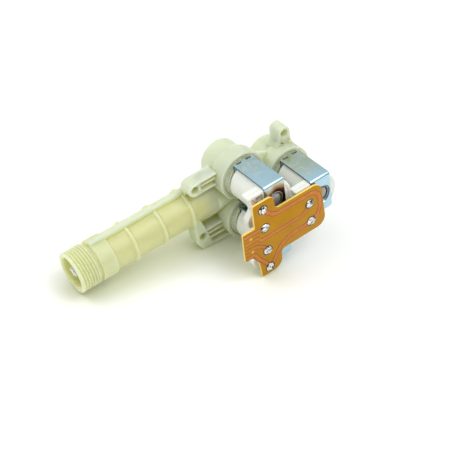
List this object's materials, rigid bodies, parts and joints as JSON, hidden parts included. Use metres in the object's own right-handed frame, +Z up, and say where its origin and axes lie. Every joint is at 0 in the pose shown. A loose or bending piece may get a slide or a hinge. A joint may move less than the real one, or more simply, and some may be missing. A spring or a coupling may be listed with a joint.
{
  "type": "washing machine inlet valve",
  "caption": "Threaded inlet tube that feeds a group of solenoid diaphragm valves, each with its own outlet, with screw tabs and a circuit board linking the coils.",
  "frame": {"origin": "centre of the inlet tube's mouth, in the plane of its end face", "axes": "+X along the tube from the mouth to the valves, +Y towards the outlets at the back, -Y towards the coils and the board at the front, +Z up"},
  "size_m": [0.1637, 0.0674, 0.0632],
  "materials": {
    "nylon": "satin, natural translucent nylon",
    "strainer_plastic": "satin",
    "board": "lacquered laminate",
    "copper_track": "lacquered copper",
    "solder": "bright solder",
    "coil_plastic": "smooth moulded",
    "copper_wire": "enamelled copper wire",
    "tinned_pins": "tinned",
    "zinc_steel": "zinc plated",
    "sleeve_steel": "plain",
    "bonnet_plastic": "glass-filled nylon",
    "plunger_steel": "turned stainless",
    "spring_steel": "drawn stainless wire",
    "rubber": "matt",
    "disc_plastic": "satin"
  },
  "bodies": {
    "valve": {"valve_body": "nylon", "inlet_strainer": "strainer_plastic", "circuit_board": "board", "copper_tracks": "copper_track", "solder_joints": "solder", "upper_coil": "coil_plastic", "upper_winding": "copper_wire", "upper_terminal_pins": "tinned_pins", "upper_yoke": "zinc_steel", "upper_flux_plate": "zinc_steel", "upper_front_sleeve": "sleeve_steel", "upper_rear_sleeve": "sleeve_steel", "upper_bonnet": "bonnet_plastic", "upper_plunger_spring": "spring_steel", "upper_diaphragm": "rubber", "upper_flow_washer": "rubber", "lower_coil": "coil_plastic", "lower_winding": "copper_wire", "lower_terminal_pins": "tinned_pins", "lower_yoke": "zinc_steel", "lower_flux_plate": "zinc_steel", "lower_front_sleeve": "sleeve_steel", "lower_rear_sleeve": "sleeve_steel", "lower_bonnet": "bonnet_plastic", "lower_plunger_spring": "spring_steel", "lower_diaphragm": "rubber", "lower_flow_washer": "rubber", "side_coil": "coil_plastic", "side_winding": "copper_wire", "side_terminal_pins": "tinned_pins", "side_yoke": "zinc_steel", "side_flux_plate": "zinc_steel", "side_front_sleeve": "sleeve_steel", "side_rear_sleeve": "sleeve_steel", "side_bonnet": "bonnet_plastic", "side_plunger_spring": "spring_steel", "side_diaphragm": "rubber", "side_flow_washer": "rubber"},
    "upper_moving_core": {"upper_plunger": "plunger_steel", "upper_plunger_seal": "rubber"},
    "upper_moving_disc": {"upper_diaphragm_disc": "disc_plastic"},
    "lower_moving_core": {"lower_plunger": "plunger_steel", "lower_plunger_seal": "rubber"},
    "lower_moving_disc": {"lower_diaphragm_disc": "disc_plastic"},
    "side_moving_core": {"side_plunger": "plunger_steel", "side_plunger_seal": "rubber"},
    "side_moving_disc": {"side_diaphragm_disc": "disc_plastic"}
  },
  "joints": [
    {"name": "upper_plunger_lift", "type": "slide", "parent": "valve", "child": "upper_moving_core", "axis": [0, -1, 0], "range_m": [0, 0.0026], "stiffness_N_per_m": 60, "springref_m": -0.005, "deforming": ["upper_plunger_spring"]},
    {"name": "upper_disc_lift", "type": "slide", "parent": "valve", "child": "upper_moving_disc", "axis": [0, -1, 0], "range_m": [0, 0.00182], "deforming": ["upper_diaphragm"]},
    {"name": "lower_plunger_lift", "type": "slide", "parent": "valve", "child": "lower_moving_core", "axis": [0, -1, 0], "range_m": [0, 0.0026], "stiffness_N_per_m": 60, "springref_m": -0.005, "deforming": ["lower_plunger_spring"]},
    {"name": "lower_disc_lift", "type": "slide", "parent": "valve", "child": "lower_moving_disc", "axis": [0, -1, 0], "range_m": [0, 0.00182], "deforming": ["lower_diaphragm"]},
    {"name": "side_plunger_lift", "type": "slide", "parent": "valve", "child": "side_moving_core", "axis": [0, -1, 0], "range_m": [0, 0.0026], "stiffness_N_per_m": 60, "springref_m": -0.005, "deforming": ["side_plunger_spring"]},
    {"name": "side_disc_lift", "type": "slide", "parent": "valve", "child": "side_moving_disc", "axis": [0, -1, 0], "range_m": [0, 0.00182], "deforming": ["side_diaphragm"]}
  ],
  "couplings": [
    {"joint": "upper_disc_lift", "follows": "upper_plunger_lift", "ratio": 0.7},
    {"joint": "lower_disc_lift", "follows": "lower_plunger_lift", "ratio": 0.7},
    {"joint": "side_disc_lift", "follows": "side_plunger_lift", "ratio": 0.7}
  ]
}
